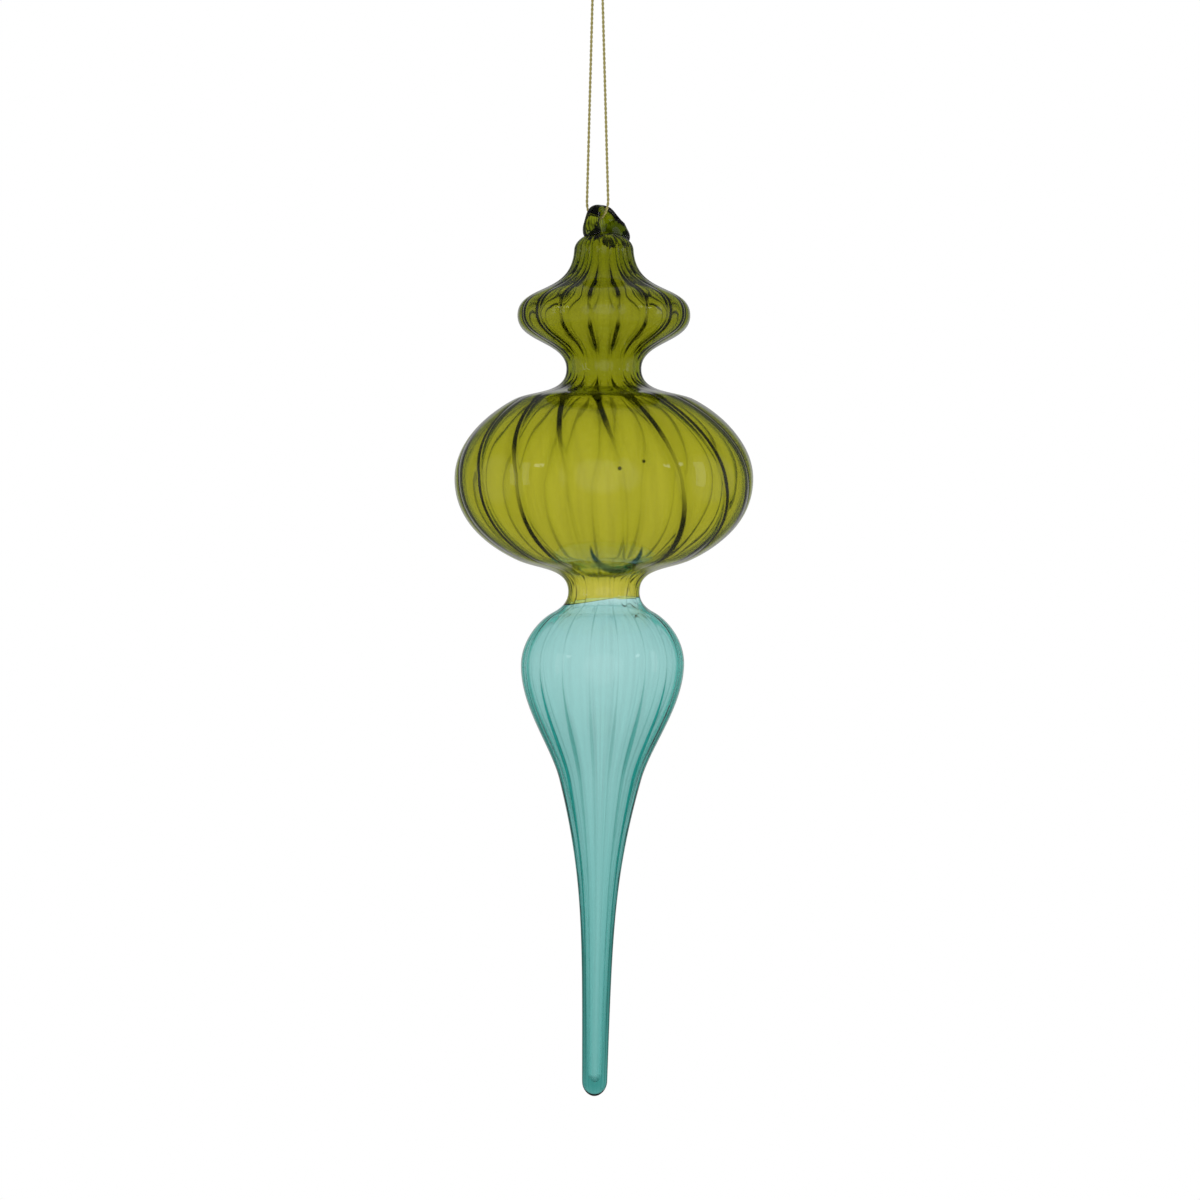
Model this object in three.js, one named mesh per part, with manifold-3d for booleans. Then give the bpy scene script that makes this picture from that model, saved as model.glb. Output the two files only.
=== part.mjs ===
// A hanging finial of blown glass: an olive green body of two fluted bulbs, an aqua drop drawn out
// to a long stem, a hook of trailed glass on the crown, and a doubled metallic cord with its knot.
// Millimetres, +Z up. The origin is where the loop of cord goes over its hook or branch.
import * as THREE from "three";
import { mergeVertices } from "three/addons/utils/BufferGeometryUtils.js";
import Module from "manifold-3d";

// Half widths of the glass, from the crown down to the tip
const NECK_RADIUS = 8.5;
const UPPER_BULB_RADIUS = 24.65;
const WAIST_RADIUS = 10.7;
const MAIN_SHOULDER_RADIUS = 25.7;
const MAIN_BULB_RADIUS = 42.5;
const MAIN_UNDERSIDE_RADIUS = 24.7;
const LOWER_NECK_RADIUS = 10.15;
const DROP_SHOULDER_RADIUS = 14.3;
const DROP_RADIUS = 23.25;
const DROP_TAPER_RADIUS = 11.65;
const STEM_RADIUS = 3.6;

// Heights of the stretches between those places, in the same order
const CROWN_HEIGHT = 5.3;
const NECK_HEIGHT = 18.8;
const UPPER_BULB_UNDERSIDE_HEIGHT = 15.1;
const WAIST_TO_SHOULDER_HEIGHT = 8.8;
const MAIN_TOP_HEIGHT = 22.5;
const MAIN_UNDERSIDE_HEIGHT = 23.1;
const UNDERSIDE_TO_NECK_HEIGHT = 9.1;
const NECK_TO_DROP_HEIGHT = 5.7;
const DROP_TOP_HEIGHT = 14.8;
const DROP_TAPER_HEIGHT = 33;
const STEM_HEIGHT = 85.8;
const TIP_HEIGHT = 4.2;

// Walls of the hollow glass, thick at the crown and in the stem, thin where it was blown widest
const CROWN_WALL = 2.4;
const UPPER_BULB_WALL = 1.8;
const WAIST_WALL = 1.9;
const MAIN_BULB_WALL = 1.2;
const LOWER_NECK_WALL = 1.15;
const DROP_WALL = 1.2;
const STEM_WALL = 2.2;
const SOLID_TIP = 9;

// Flutes round the glass: how many, how deep, and how far they have swirled at each place
const FLUTE_COUNT = 18;
const NECK_FLUTE = 0.3;
const UPPER_BULB_FLUTE = 0.6;
const MAIN_BULB_FLUTE = 0.85;
const SMOOTH_FLUTE = 0.1;
const DROP_FLUTE = 0.5;
const STEM_FLUTE = 0.3;
const SHOULDER_SWIRL = 5;
const MAIN_BULB_SWIRL = 17;
const UNDERSIDE_SWIRL = 34;
const LOWER_NECK_SWIRL = 41;

// How finely the turned glass is divided round its axis
const SEGMENTS_A_FLUTE = 3;
const BORE_SEGMENTS = 28;

// The seam between green and aqua lies just below the lower neck's narrowest place, aslant
const SEAM_BELOW_NECK = 2.4;
const SEAM_SLANT = 6;
const DROP_LEAN = 1.08;

// Where the glass hangs: its axis beside the thread in the eye, and the crown below that thread
const AXIS_RIGHT_OF_THREAD = 1.8;
const AXIS_BEFORE_THREAD = 1.3;
const EYE_ABOVE_CROWN = 3.6;

// The hook's trail, how finely it is divided, and the clearances at its seats and round the thread
const TRAIL_HALF_THICKNESS = 1.7;
const TRAIL_HALF_BREADTH = 1.9;
const FOOT_HALF_THICKNESS = 2.2;
const FOOT_HALF_BREADTH = 3.3;
const TRAIL_RINGS = 30;
const TRAIL_SIDES = 14;
const SEAT_GAP = 0.3;
const THREAD_ROOM = 0.45;

// The cord and the way it runs through the eye, in degrees from +X towards the front
const CORD_DIAMETER = 0.8;
const CORD_RUN = 40;
const CORD_SIDES = 8;
const CORD_STEPS = 80;

// The knot and its two cut ends
const KNOT_RADIUS = 1.6;
const KNOT_WAIST = 0.35;
const KNOT_HEIGHT = 3.4;
const KNOT_ROWS = 12;
const KNOT_SEGMENTS = 16;
const TAIL_LENGTH = 7;
const TAIL_SPREAD = 14;
const TAIL_CURL = 0.6;
const TAIL_STEPS = 8;

const wasm = await Module();
wasm.setup();

// A closed geometry as a solid that can be joined and cut
function toSolid(geometry) {
  const bare = geometry.clone();
  bare.deleteAttribute("normal");
  bare.deleteAttribute("uv");
  const merged = mergeVertices(bare, 1e-4);
  const index = merged.index.array;
  const triVerts = [];
  for (let i = 0; i < index.length; i += 3) {
    const [a, b, c] = index.slice(i, i + 3);
    if (a !== b && b !== c && c !== a) triVerts.push(a, b, c);
  }
  return new wasm.Manifold(
    new wasm.Mesh({
      numProp: 3,
      vertProperties: new Float32Array(merged.attributes.position.array),
      triVerts: new Uint32Array(triVerts),
    }),
  );
}

// A solid as a geometry with flat faces
function toGeometry(solid) {
  const mesh = solid.getMesh();
  const geometry = new THREE.BufferGeometry();
  geometry.setAttribute("position", new THREE.BufferAttribute(mesh.vertProperties, 3));
  geometry.setIndex(new THREE.BufferAttribute(mesh.triVerts, 1));
  const flat = geometry.toNonIndexed();
  flat.computeVertexNormals();
  return flat;
}

function named(name, geometry, color, roughness, metalness = 0) {
  const material = new THREE.MeshStandardMaterial({ color, roughness, metalness });
  const mesh = new THREE.Mesh(geometry, material);
  mesh.name = name;
  return mesh;
}

// The stations of the outline. Each has its half width and the height of the stretch above it, the
// outline's lean from straight down in degrees, how far its curve reaches above and below, the rows
// in the stretch above, and the wall, flute depth and swirl there.
const STATIONS = [
  {
    r: 0, down: 0, lean: 90, above: 0, below: 5, rows: 0,
    wall: CROWN_WALL, flute: 0, swirl: 0,
  },
  {
    r: NECK_RADIUS, down: CROWN_HEIGHT, lean: 3, above: 3, below: 13.4, rows: 4,
    wall: CROWN_WALL, flute: NECK_FLUTE, swirl: 0,
  },
  {
    r: UPPER_BULB_RADIUS, down: NECK_HEIGHT, lean: 0, above: 9.1, below: 7.5, rows: 9,
    wall: UPPER_BULB_WALL, flute: UPPER_BULB_FLUTE, swirl: 0,
  },
  {
    r: WAIST_RADIUS, down: UPPER_BULB_UNDERSIDE_HEIGHT, lean: 0, above: 8, below: 7.2, rows: 8,
    wall: WAIST_WALL, flute: SMOOTH_FLUTE, swirl: 0,
  },
  {
    r: MAIN_SHOULDER_RADIUS, down: WAIST_TO_SHOULDER_HEIGHT, lean: 62.8, above: 5.4, below: 8.2, rows: 5,
    wall: UPPER_BULB_WALL, flute: MAIN_BULB_FLUTE, swirl: SHOULDER_SWIRL,
  },
  {
    r: MAIN_BULB_RADIUS, down: MAIN_TOP_HEIGHT, lean: 0, above: 10.6, below: 11.9, rows: 6,
    wall: MAIN_BULB_WALL, flute: MAIN_BULB_FLUTE, swirl: MAIN_BULB_SWIRL,
  },
  {
    r: MAIN_UNDERSIDE_RADIUS, down: MAIN_UNDERSIDE_HEIGHT, lean: -65.2, above: 9.5, below: 6.6, rows: 6,
    wall: MAIN_BULB_WALL, flute: MAIN_BULB_FLUTE, swirl: UNDERSIDE_SWIRL,
  },
  {
    r: LOWER_NECK_RADIUS, down: UNDERSIDE_TO_NECK_HEIGHT, lean: 0, above: 7, below: 3.1, rows: 5,
    wall: LOWER_NECK_WALL, flute: SMOOTH_FLUTE, swirl: LOWER_NECK_SWIRL,
  },
  {
    r: DROP_SHOULDER_RADIUS, down: NECK_TO_DROP_HEIGHT, lean: 62.5, above: 2, below: 4.6, rows: 4,
    wall: DROP_WALL, flute: DROP_FLUTE, swirl: LOWER_NECK_SWIRL,
  },
  {
    r: DROP_RADIUS, down: DROP_TOP_HEIGHT, lean: 0, above: 6.8, below: 12.3, rows: 5,
    wall: DROP_WALL, flute: DROP_FLUTE, swirl: LOWER_NECK_SWIRL,
  },
  {
    r: DROP_TAPER_RADIUS, down: DROP_TAPER_HEIGHT, lean: -14.7, above: 10.2, below: 28.9, rows: 6,
    wall: DROP_WALL, flute: DROP_FLUTE, swirl: LOWER_NECK_SWIRL,
  },
  {
    r: STEM_RADIUS, down: STEM_HEIGHT, lean: -1, above: 42, below: 2.2, rows: 7,
    wall: STEM_WALL, flute: STEM_FLUTE, swirl: LOWER_NECK_SWIRL,
  },
  {
    r: 0, down: TIP_HEIGHT, lean: -90, above: 1.9, below: 0, rows: 5,
    wall: STEM_WALL, flute: 0, swirl: LOWER_NECK_SWIRL,
  },
];

const LOWER_NECK_STATION = STATIONS.findIndex((s) => s.down === UNDERSIDE_TO_NECK_HEIGHT);
const heightOf = (count) => -STATIONS.slice(0, count + 1).reduce((sum, s) => sum + s.down, 0);
const LOWER_NECK_Z = heightOf(LOWER_NECK_STATION);
const TIP_Z = heightOf(STATIONS.length - 1);

// The outline as rows from the crown, at height 0, down to the tip, one cubic between two stations
function outlineRows() {
  const rows = [];
  const heading = (station, reach) => {
    const lean = station.lean * THREE.MathUtils.DEG2RAD;
    return new THREE.Vector2(Math.sin(lean), -Math.cos(lean)).multiplyScalar(reach);
  };
  STATIONS.slice(1).forEach((b, i) => {
    const a = STATIONS[i];
    const from = new THREE.Vector2(a.r, heightOf(i));
    const to = new THREE.Vector2(b.r, heightOf(i + 1));
    const leaving = from.clone().add(heading(a, a.below));
    const arriving = to.clone().sub(heading(b, b.above));
    const curve = new THREE.CubicBezierCurve(from, leaving, arriving, to);
    for (let k = i === 0 ? 0 : 1; k <= b.rows; k++) {
      const t = k / b.rows;
      const point = curve.getPoint(t);
      const between = (what) => THREE.MathUtils.lerp(a[what], b[what], t);
      rows.push({
        r: point.x,
        z: point.y,
        wall: between("wall"),
        flute: between("flute"),
        swirl: between("swirl"),
      });
    }
  });
  return rows;
}

// The rows moved outwards, square to the outline, by what grow gives for each row
function movedRows(rows, grow) {
  return rows.map((row, i) => {
    const before = rows[Math.max(i - 1, 0)];
    const after = rows[Math.min(i + 1, rows.length - 1)];
    const outwards = new THREE.Vector2(before.z - after.z, after.r - before.r).normalize();
    if (row.r === 0) outwards.set(0, i === 0 ? 1 : -1);
    return { ...row, r: Math.max(row.r + grow(row) * outwards.x, 0), z: row.z + grow(row) * outwards.y };
  });
}

// A turned solid with flutes: sharp valleys between round lobes, which swirl from row to row. Where
// nothing has swirled, the middle of a lobe faces -Y. Below the lower neck the axis leans left.
function flutedSolid(rows, segments, fluted) {
  const lathe = new THREE.LatheGeometry(rows.map((row) => new THREE.Vector2(row.r, row.z)), segments);
  const position = lathe.attributes.position;
  const valley = Math.PI / FLUTE_COUNT;
  const leanRate = Math.tan(DROP_LEAN * THREE.MathUtils.DEG2RAD);
  for (let i = 0; i <= segments; i++) {
    const around = (2 * Math.PI * i) / segments;
    const dip = fluted ? 1 - Math.abs(Math.sin((FLUTE_COUNT * around) / 2)) : 0;
    rows.forEach((row, j) => {
      const radius = Math.max(row.r - row.flute * dip, 0);
      const angle = around + (fluted ? valley + row.swirl * THREE.MathUtils.DEG2RAD : 0);
      const x = radius * Math.sin(angle) + leanRate * Math.min(row.z - LOWER_NECK_Z, 0);
      position.setXYZ(i * rows.length + j, x, -radius * Math.cos(angle), row.z);
    });
  }
  const solid = toSolid(lathe);
  return solid.volume() > 0 ? solid : toSolid(turnedOver(lathe));
}

// The same geometry with its faces turned the other way
function turnedOver(geometry) {
  const turned = geometry.clone();
  const index = turned.index.array;
  for (let i = 0; i < index.length; i += 3) [index[i], index[i + 1]] = [index[i + 1], index[i]];
  return turned;
}

// The space inside the glass, from under the crown down the stem to the solid tip, with half the rows
function boreRows(rows) {
  const inside = movedRows(rows, (row) => -row.wall).filter((row, i) => i % 2 === 0);
  const kept = inside.filter((row) => row.z > TIP_Z + SOLID_TIP);
  const last = kept[kept.length - 1];
  kept[0].r = 0;
  kept.push({ ...last, r: 0, z: last.z - last.r });
  return kept.filter((row, i) => i === 0 || row.r > 0 || i === kept.length - 1);
}

// The green body and the aqua drop: one blown shape, parted at the slanting seam
function glassShells() {
  const rows = outlineRows();
  const outside = flutedSolid(rows, SEGMENTS_A_FLUTE * FLUTE_COUNT, true);
  const shell = outside.subtract(flutedSolid(boreRows(rows), BORE_SEGMENTS, false));
  const slant = SEAM_SLANT * THREE.MathUtils.DEG2RAD;
  const normal = [-Math.sin(slant), 0, Math.cos(slant)];
  const level = (LOWER_NECK_Z - SEAM_BELOW_NECK) * Math.cos(slant);
  return {
    green: shell.trimByPlane(normal, level + SEAT_GAP / 2),
    aqua: shell.trimByPlane(normal.map((n) => -n), SEAT_GAP / 2 - level),
  };
}

// A rod of oval section along a curve, with round ends. sizes gives the half thickness and the half
// breadth at each of the curve's points, and the breadth lies across the given direction.
function ovalRod(points, sizes, across, rings, sides) {
  const curve = new THREE.CatmullRomCurve3(points);
  const length = curve.getLength();
  const vertices = [...curve.getPointAt(0).toArray()];
  for (let i = 1; i < rings; i++) {
    const s = i / rings;
    const t = curve.getUtoTmapping(s) * (points.length - 1);
    const k = Math.min(Math.floor(t), points.length - 2);
    const thickness = THREE.MathUtils.lerp(sizes[k][0], sizes[k + 1][0], t - k);
    const breadth = THREE.MathUtils.lerp(sizes[k][1], sizes[k + 1][1], t - k);
    const fromEnd = Math.min(s, 1 - s) * length;
    const round = Math.sqrt(1 - Math.max(1 - fromEnd / thickness, 0) ** 2);
    const tangent = curve.getTangentAt(s);
    const side = across.clone().addScaledVector(tangent, -across.dot(tangent)).normalize();
    const up = new THREE.Vector3().crossVectors(side, tangent);
    for (let j = 0; j < sides; j++) {
      const angle = (2 * Math.PI * j) / sides;
      const point = curve
        .getPointAt(s)
        .addScaledVector(side, breadth * round * Math.cos(angle))
        .addScaledVector(up, thickness * round * Math.sin(angle));
      vertices.push(...point.toArray());
    }
  }
  vertices.push(...curve.getPointAt(1).toArray());
  const last = vertices.length / 3 - 1;
  const ring = (i, j) => 1 + i * sides + (j % sides);
  const index = [];
  for (let j = 0; j < sides; j++) {
    index.push(0, ring(0, j + 1), ring(0, j));
    for (let i = 0; i < rings - 2; i++) {
      index.push(ring(i, j), ring(i, j + 1), ring(i + 1, j));
      index.push(ring(i, j + 1), ring(i + 1, j + 1), ring(i + 1, j));
    }
    index.push(last, ring(rings - 2, j), ring(rings - 2, j + 1));
  }
  const geometry = new THREE.BufferGeometry();
  geometry.setAttribute("position", new THREE.Float32BufferAttribute(vertices, 3));
  geometry.setIndex(index);
  const solid = toSolid(geometry);
  return solid.volume() > 0 ? solid : toSolid(turnedOver(geometry));
}

// The direction in which the cord goes through the eye
const runAngle = CORD_RUN * THREE.MathUtils.DEG2RAD;
const CORD_ACROSS = new THREE.Vector3(Math.cos(runAngle), -Math.sin(runAngle), 0);

// The hook: a trail of glass from the neck's right side, over the thread and down in front to the
// crown. Its points are set from the glass's axis and the crown.
function hookSolid() {
  const beside = (degrees, inside, z) => {
    const angle = degrees * THREE.MathUtils.DEG2RAD;
    const out = NECK_RADIUS - inside;
    return new THREE.Vector3(out * Math.cos(angle), out * Math.sin(angle), z);
  };
  const seat = new THREE.Vector3(-AXIS_RIGHT_OF_THREAD, AXIS_BEFORE_THREAD, EYE_ABOVE_CROWN);
  const arch = CORD_DIAMETER / 2 + THREAD_ROOM + TRAIL_HALF_THICKNESS;
  const over = (x, y, z) => seat.clone().add(new THREE.Vector3(x, y, arch + z));
  const points = [
    beside(23, 1.4, -9),
    beside(34, 1.9, -3.2),
    over(5.2, 3.2, -4.7),
    over(2.8, 2.1, -1.1),
    over(0.1, 0.1, 0),
    over(-1.5, -1.4, -0.9),
    over(-2, -2.6, -3.4),
    over(-1.7, -4.1, -6),
    over(-1.2, -4.9, -8),
  ];
  const foot = [FOOT_HALF_THICKNESS, FOOT_HALF_BREADTH];
  const rising = [FOOT_HALF_THICKNESS, (FOOT_HALF_BREADTH + TRAIL_HALF_BREADTH) / 2];
  const trail = [TRAIL_HALF_THICKNESS, TRAIL_HALF_BREADTH];
  const sizes = [foot, foot, rising, ...points.slice(3).map(() => trail)];
  const rod = ovalRod(points, sizes, CORD_ACROSS, TRAIL_RINGS, TRAIL_SIDES);
  const neck = movedRows(outlineRows(), () => SEAT_GAP);
  return rod.subtract(flutedSolid(neck, SEGMENTS_A_FLUTE * FLUTE_COUNT, true));
}

// One side of the loop of cord, from the knot down to the middle of the eye: how far it is from the
// loop's middle along the run, and its height
const CORD_SIDE = [
  [0.45, 4.2],
  [0.5, 3.4],
  [0.85, 2.2],
  [1.25, 1],
  [1.47, -0.5],
  [1.63, -4],
  [1.91, -12],
  [2.37, -25],
  [2.9, -40],
  [3.43, -55],
  [3.86, -67],
  [3.93, -69.2],
  [3.72, -70.8],
  [3.2, -72],
  [2.35, -73.2],
  [1.25, -74],
];
const CORD_BOTTOM = -74.2;

function cordCurve() {
  const place = ([across, z]) => CORD_ACROSS.clone().multiplyScalar(across).setZ(z);
  const left = CORD_SIDE.map(([across, z]) => place([-across, z]));
  const right = CORD_SIDE.map(place).reverse();
  return new THREE.CatmullRomCurve3([...left, place([0, CORD_BOTTOM]), ...right]);
}

function roundSection(radius, sides) {
  const corners = [];
  for (let i = 0; i < sides; i++) {
    const angle = (2 * Math.PI * i) / sides;
    corners.push(new THREE.Vector2(radius * Math.cos(angle), radius * Math.sin(angle)));
  }
  return new THREE.Shape(corners);
}

function cordGeometry() {
  return new THREE.ExtrudeGeometry(roundSection(CORD_DIAMETER / 2, CORD_SIDES), {
    steps: CORD_STEPS,
    extrudePath: cordCurve(),
  });
}

// The knot that ties the loop: two turns of cord drawn tight, and the two cut ends above them
function knotSolid() {
  const bottom = CORD_SIDE[0][1] + SEAT_GAP;
  const outline = [];
  for (let i = 0; i <= KNOT_ROWS; i++) {
    const t = i / KNOT_ROWS;
    const barrel = Math.sqrt(1 - (2 * t - 1) ** 4);
    const drawnIn = KNOT_WAIST * Math.cos(2 * Math.PI * t) ** 2;
    outline.push(new THREE.Vector2((KNOT_RADIUS - drawnIn) * barrel, bottom + KNOT_HEIGHT * t));
  }
  const lathe = new THREE.LatheGeometry(outline, KNOT_SEGMENTS).rotateX(Math.PI / 2);
  let knot = toSolid(lathe);
  if (knot.volume() < 0) knot = toSolid(turnedOver(lathe));
  for (const side of [-1, 1]) {
    const lean = side * TAIL_SPREAD * THREE.MathUtils.DEG2RAD;
    const foot = CORD_ACROSS.clone().multiplyScalar((side * CORD_DIAMETER) / 2);
    foot.setZ(bottom + KNOT_HEIGHT / 2);
    const heading = CORD_ACROSS.clone().multiplyScalar(Math.sin(lean)).setZ(Math.cos(lean));
    const bent = foot.clone().addScaledVector(heading, (KNOT_HEIGHT + TAIL_LENGTH) / 2);
    const end = bent.clone().add(new THREE.Vector3(0, -side * TAIL_CURL, TAIL_LENGTH / 2));
    const tail = new THREE.ExtrudeGeometry(roundSection(CORD_DIAMETER / 2, CORD_SIDES), {
      steps: TAIL_STEPS,
      extrudePath: new THREE.CatmullRomCurve3([foot, bent, end]),
    });
    knot = knot.add(toSolid(tail));
  }
  return knot;
}

const finial = new THREE.Group();
const glass = new THREE.Group();
glass.position.set(AXIS_RIGHT_OF_THREAD, -AXIS_BEFORE_THREAD, CORD_BOTTOM - EYE_ABOVE_CROWN);
const { green, aqua } = glassShells();
glass.add(named("green_glass_body", toGeometry(green), 0x9a9a2c, 0.05));
glass.add(named("aqua_glass_drop", toGeometry(aqua), 0x8fc4be, 0.05));
glass.add(named("glass_hook", toGeometry(hookSolid()), 0x66722c, 0.05));
finial.add(glass);
finial.add(named("hanging_cord", cordGeometry(), 0xa79a4a, 0.35, 0.8));
finial.add(named("cord_knot", toGeometry(knotSolid()), 0xa79a4a, 0.35, 0.8));

export default finial;
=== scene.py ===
import math

import bmesh
import bpy
from mathutils import Matrix, Vector


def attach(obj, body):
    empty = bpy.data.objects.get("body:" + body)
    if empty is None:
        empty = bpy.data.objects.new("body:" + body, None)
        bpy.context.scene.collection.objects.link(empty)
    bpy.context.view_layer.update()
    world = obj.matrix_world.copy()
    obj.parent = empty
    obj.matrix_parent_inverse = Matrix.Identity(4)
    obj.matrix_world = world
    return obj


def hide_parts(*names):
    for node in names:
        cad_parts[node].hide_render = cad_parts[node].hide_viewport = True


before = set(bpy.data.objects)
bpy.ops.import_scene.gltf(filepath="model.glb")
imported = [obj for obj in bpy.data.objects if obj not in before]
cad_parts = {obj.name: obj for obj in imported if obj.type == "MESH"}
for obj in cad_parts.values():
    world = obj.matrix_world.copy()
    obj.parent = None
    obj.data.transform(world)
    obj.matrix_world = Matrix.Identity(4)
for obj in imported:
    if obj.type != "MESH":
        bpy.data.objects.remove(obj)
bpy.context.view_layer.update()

# The camera stands level in front of the hanging ornament and looks along +Y, as in the photograph,
# whose picture is 1200 pixels wide with the glass at 0.28475 mm a pixel.
PIXEL = 0.00028475
PICTURE_PIXELS = 1200
LENS_MM = 100
SENSOR_MM = 36
PICTURE_MIDDLE = Vector((0.0007, -0.0013, -0.18276))

camera_data = bpy.data.cameras.new("camera")
camera_data.lens = LENS_MM
camera_data.sensor_width = SENSOR_MM
camera = bpy.data.objects.new("camera", camera_data)
bpy.context.scene.collection.objects.link(camera)
camera_distance = PIXEL * PICTURE_PIXELS * LENS_MM / SENSOR_MM
camera.location = PICTURE_MIDDLE - Vector((0, camera_distance, 0))
camera.rotation_euler = (math.radians(90), 0, 0)
bpy.context.scene.camera = camera


# The hanging cord is one metallic thread of two strands twisted together, doubled through the eye of
# the glass hook. Gravity keeps both sides taut, and they close up towards the knot above the picture.
CORD_DIAMETER = 0.0008
STRAND_RADIUS = 0.000235
TWIST_PITCH = 0.0026
CORD_STEP = 0.00016
STRAND_SIDES = 9
# The strands' UV map runs along them in millimetres
UV_A_METRE = 1000
# Both sides of the thread hang in one plane, turned this far from the picture's
CORD_RUN = math.radians(40)
CORD_ACROSS = Vector((math.cos(CORD_RUN), -math.sin(CORD_RUN), 0))
CORD_BOTTOM = -0.0742
# One side from the knot down to the eye: how far across, and the height
CORD_SIDE = [
    (0.00045, 0.0042), (0.0005, 0.0034), (0.00085, 0.0022), (0.00125, 0.001),
    (0.00147, -0.0005), (0.00163, -0.004), (0.00191, -0.012), (0.00237, -0.025),
    (0.0029, -0.04), (0.00343, -0.055), (0.00386, -0.067), (0.00393, -0.0692),
    (0.00372, -0.0708), (0.0032, -0.072), (0.00235, -0.0732), (0.00125, -0.074),
]


def smooth_path(points, step):
    """Points about a step apart on a smooth curve through the given points."""
    ends = [2 * points[0] - points[1], *points, 2 * points[-1] - points[-2]]
    path = []
    for before, a, b, after in zip(ends, ends[1:], ends[2:], ends[3:]):
        knots = [0.0]
        for p, q in ((before, a), (a, b), (b, after)):
            knots.append(knots[-1] + math.sqrt((q - p).length))
        k0, k1, k2, k3 = knots
        count = max(1, round((b - a).length / step))
        for i in range(count):
            k = k1 + (k2 - k1) * i / count
            p01 = before.lerp(a, (k - k0) / (k1 - k0))
            p12 = a.lerp(b, (k - k1) / (k2 - k1))
            p23 = b.lerp(after, (k - k2) / (k3 - k2))
            p012 = p01.lerp(p12, (k - k0) / (k2 - k0))
            p123 = p12.lerp(p23, (k - k1) / (k3 - k1))
            path.append(p012.lerp(p123, (k - k1) / (k2 - k1)))
    return [*path, points[-1].copy()]


def path_frames(path):
    """For each point of a path its tangent and one direction square to it that never twists."""
    tangents = []
    for i in range(len(path)):
        tangents.append((path[min(i + 1, len(path) - 1)] - path[max(i - 1, 0)]).normalized())
    side = tangents[0].orthogonal().normalized()
    frames = []
    for i, tangent in enumerate(tangents):
        if i:
            side = tangents[i - 1].rotation_difference(tangent) @ side
        side = (side - tangent * side.dot(tangent)).normalized()
        frames.append((tangent, side))
    return frames


def new_object(name, mesh):
    piece = bpy.data.objects.new(name, mesh)
    bpy.context.scene.collection.objects.link(piece)
    return piece


def add_tube(bm, path, radius, sides):
    """A closed round tube along a path, with its length and its turn in the UV map."""
    uv = bm.loops.layers.uv.verify()
    rings = []
    run = [0.0]
    for a, b in zip(path, path[1:]):
        run.append(run[-1] + (b - a).length)
    for point, (tangent, side) in zip(path, path_frames(path)):
        up = tangent.cross(side)
        ring = []
        for j in range(sides):
            angle = 2 * math.pi * j / sides
            ring.append(bm.verts.new(point + radius * (math.cos(angle) * side + math.sin(angle) * up)))
        rings.append(ring)
    for i, (lower, upper) in enumerate(zip(rings, rings[1:])):
        for j in range(sides):
            k = (j + 1) % sides
            face = bm.faces.new((lower[j], lower[k], upper[k], upper[j]))
            face.smooth = True
            corners = ((j, i), (j + 1, i), (j + 1, i + 1), (j, i + 1))
            for loop, (turn, along) in zip(face.loops, corners):
                loop[uv].uv = (turn / sides, run[along] * UV_A_METRE)
    bm.faces.new(rings[0][::-1])
    bm.faces.new(rings[-1])


def add_twisted_cord(bm, path):
    """The two strands of the thread, laid round each other along a path."""
    run = 0.0
    strands = ([], [])
    for i, (point, (tangent, side)) in enumerate(zip(path, path_frames(path))):
        if i:
            run += (point - path[i - 1]).length
        up = tangent.cross(side)
        for k, strand in enumerate(strands):
            turn = 2 * math.pi * run / TWIST_PITCH + math.pi * k
            offset = CORD_DIAMETER / 2 - STRAND_RADIUS
            strand.append(point + offset * (math.cos(turn) * side + math.sin(turn) * up))
    for strand in strands:
        add_tube(bm, strand, STRAND_RADIUS, STRAND_SIDES)


def finished_mesh(bm, name):
    """The mesh that was built, with its faces turned outwards."""
    bmesh.ops.recalc_face_normals(bm, faces=bm.faces)
    mesh = bpy.data.meshes.new(name)
    bm.to_mesh(mesh)
    bm.free()
    return mesh


def on_run(across, height):
    """A point in the plane of the thread's two sides."""
    return CORD_ACROSS * across + Vector((0, 0, height))


left_side = [on_run(-across, height) for across, height in CORD_SIDE]
right_side = [on_run(across, height) for across, height in CORD_SIDE]
cord_route = [*left_side, on_run(0, CORD_BOTTOM), *right_side[::-1]]
cord_path = smooth_path(cord_route, CORD_STEP)
bm = bmesh.new()
add_twisted_cord(bm, cord_path)
cord = new_object("hanging_cord_thread", finished_mesh(bm, "hanging_cord_thread"))
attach(cord, "loop")
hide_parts("hanging_cord")


def principled(name):
    """A new material, its nodes and links, and its Principled shader."""
    material = bpy.data.materials.new(name)
    material.use_nodes = True
    nodes = material.node_tree.nodes
    return material, nodes, material.node_tree.links, nodes["Principled BSDF"]


def worked_out(tree, operation, *values, clamp=False):
    """A Math node in a tree, each of its values a number or a socket; gives its result's socket."""
    node = tree.nodes.new("ShaderNodeMath")
    node.operation = operation
    node.use_clamp = clamp
    for slot, value in zip(node.inputs, values):
        if isinstance(value, (int, float)):
            slot.default_value = value
        else:
            tree.links.new(value, slot)
    return node.outputs[0]


def ramp(tree, value, *stops):
    """A colour that goes from one stop to the other with a socket's value; gives its socket."""
    node = tree.nodes.new("ShaderNodeValToRGB")
    for element, (level, colour) in zip(node.color_ramp.elements, stops):
        element.position = level
        element.color = colour
    tree.links.new(value, node.inputs["Fac"])
    return node.outputs["Color"]


# Pale gold foil that also shows painted glints, the olive brown of its folds as painted shade, and the
# levels of the wrap's pattern that show them
FOIL_AND_GLINT_COLOUR = (0.95, 0.9, 0.48, 1)
FOLD_SHADE_COLOUR = (0.42, 0.37, 0.13, 1)
FOIL_LEVEL = 0.45
FOLD_SHADE_LEVEL = 0.05
FOIL_METALLIC = 0.3
FOIL_ROUGHNESS = 0.34
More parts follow.
